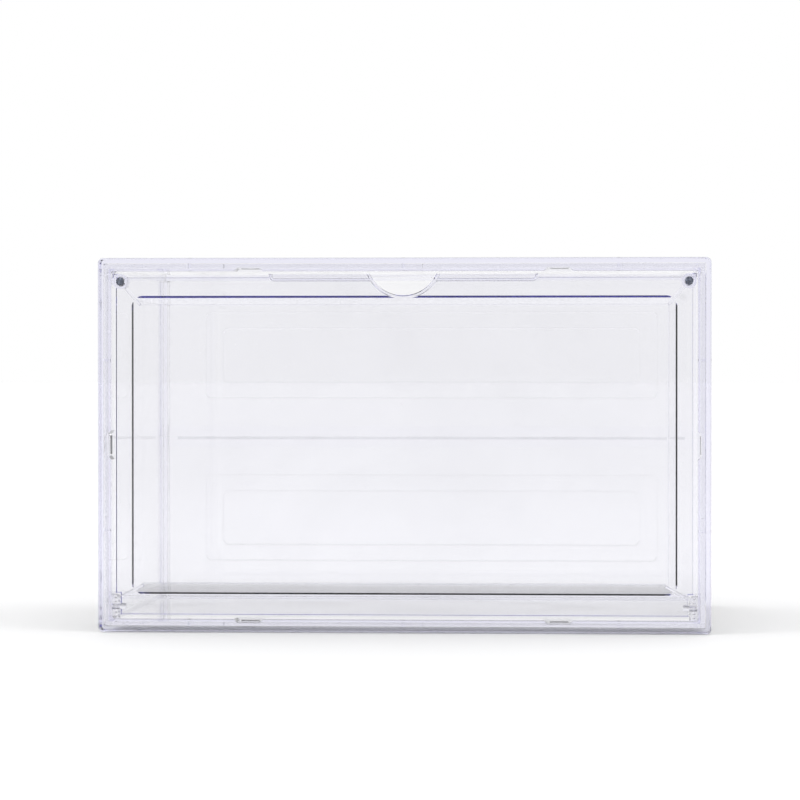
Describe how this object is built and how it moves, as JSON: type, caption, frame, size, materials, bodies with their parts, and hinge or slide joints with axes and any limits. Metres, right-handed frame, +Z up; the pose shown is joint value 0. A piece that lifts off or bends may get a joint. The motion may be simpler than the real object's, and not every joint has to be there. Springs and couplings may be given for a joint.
{
  "type": "drop-front shoe box",
  "caption": "Clear rigid stackable shoe display box: a door hinged along its lower edge drops forward and is held shut by small disc magnets in its upper corners.",
  "frame": {"origin": "centre of the rectangle the box stands on, at the underside of its rims", "axes": "+X to the right facing the door, +Y from the door to the back, +Z up"},
  "size_m": [0.36, 0.28, 0.22],
  "materials": {
    "clear_frame": "clear moulded polystyrene, polished, faint cool tint at its edges",
    "clear_door": "clear moulded polystyrene, polished",
    "clear_panel": "clear moulded polystyrene, polished",
    "clear_back": "clear moulded polystyrene, polished",
    "plated_magnet": "nickel-plated disc magnet, dull"
  },
  "bodies": {
    "box": {"front_frame": "clear_frame", "left_side_panel": "clear_panel", "right_side_panel": "clear_panel", "top_panel": "clear_panel", "bottom_panel": "clear_panel", "back_panel_upper": "clear_back", "back_panel_lower": "clear_back", "frame_magnet_left": "plated_magnet", "frame_magnet_right": "plated_magnet"},
    "door": {"door": "clear_door", "door_magnet_left": "plated_magnet", "door_magnet_right": "plated_magnet"}
  },
  "joints": [
    {"name": "door_hinge", "type": "hinge", "parent": "box", "child": "door", "pos_m": [0, -0.1374, 0.015], "axis": [1, 0, 0], "range_deg": [0, 93]}
  ]
}
